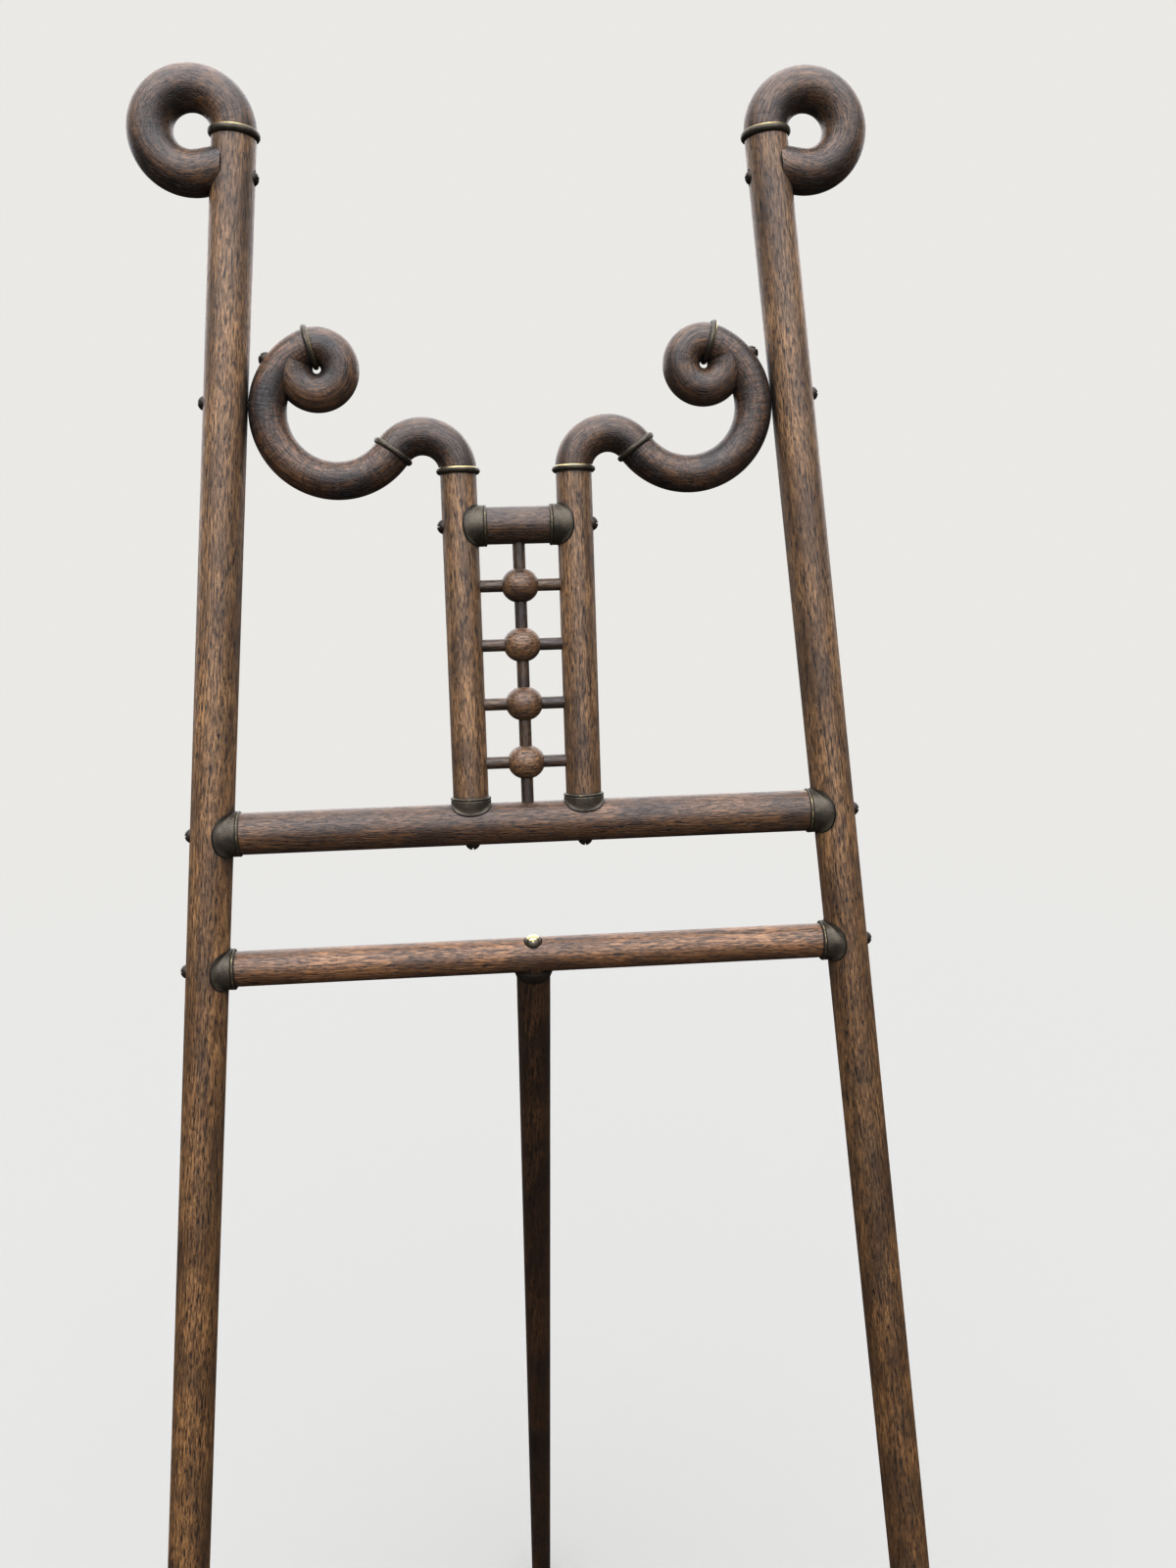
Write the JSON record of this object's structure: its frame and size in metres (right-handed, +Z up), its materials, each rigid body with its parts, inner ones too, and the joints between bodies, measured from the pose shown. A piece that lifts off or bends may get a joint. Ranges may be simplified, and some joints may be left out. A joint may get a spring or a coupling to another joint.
{
  "type": "folding display easel",
  "caption": "Folding floor easel of stained oak: splayed posts with bentwood scrolls and finials, a stick-and-ball ladder, brass ferrules, picture pegs and a hinged rear leg.",
  "frame": {"origin": "on the floor at the middle of the footprint", "axes": "+Z up, +X to the right of a person facing the easel, +Y back towards the rear leg"},
  "size_m": [0.8148, 0.5462, 1.8162],
  "materials": {
    "oak": "stained oak under aged satin varnish, open dark pores along the grain",
    "dark_oak": "darker stained oak, satin",
    "brass": "aged brass with a dark brown and olive patina, rubbed bright on the rims",
    "screw_brass": "aged brass screw heads with dark slots"
  },
  "bodies": {
    "frame": {"left_post": "oak", "right_post": "oak", "left_finial": "oak", "right_finial": "oak", "main_rail": "oak", "left_upright": "oak", "right_upright": "oak", "top_rung": "oak", "ladder_balls": "oak", "vertical_sticks": "oak", "cross_sticks": "oak", "left_arch": "oak", "right_arch": "oak", "left_scroll": "oak", "right_scroll": "oak", "left_curl": "oak", "right_curl": "oak", "picture_rail": "oak", "joint_dowels": "dark_oak", "finial_rings": "brass", "main_rail_ferrules": "brass", "upright_ferrules": "brass", "rung_ferrules": "brass", "arch_rings": "brass", "scroll_rings": "brass", "curl_rings": "brass", "picture_rail_ferrules": "brass", "lower_rail_ferrules": "brass", "finial_screws": "screw_brass", "main_rail_screws": "screw_brass", "upright_screws": "screw_brass", "rung_screws": "screw_brass", "curl_screws": "screw_brass", "scroll_screws": "screw_brass", "picture_rail_screws": "screw_brass"},
    "leg": {"lower_rail": "oak", "pivot_screws": "screw_brass", "rear_leg": "dark_oak", "leg_ferrule": "brass", "leg_screw": "screw_brass"},
    "left_peg": {"left_peg": "oak"},
    "right_peg": {"right_peg": "oak"}
  },
  "joints": [
    {"name": "leg_fold", "type": "hinge", "parent": "frame", "child": "leg", "pos_m": [0, -0.02172, 1.05395], "axis": [1, 0, 0], "range_deg": [-23, 0]},
    {"name": "left_peg_slide", "type": "slide", "parent": "frame", "child": "left_peg", "axis": [0, -0.9781, 0.2079], "range_m": [0, 0.028]},
    {"name": "right_peg_slide", "type": "slide", "parent": "frame", "child": "right_peg", "axis": [0, -0.9781, 0.2079], "range_m": [0, 0.028]}
  ]
}
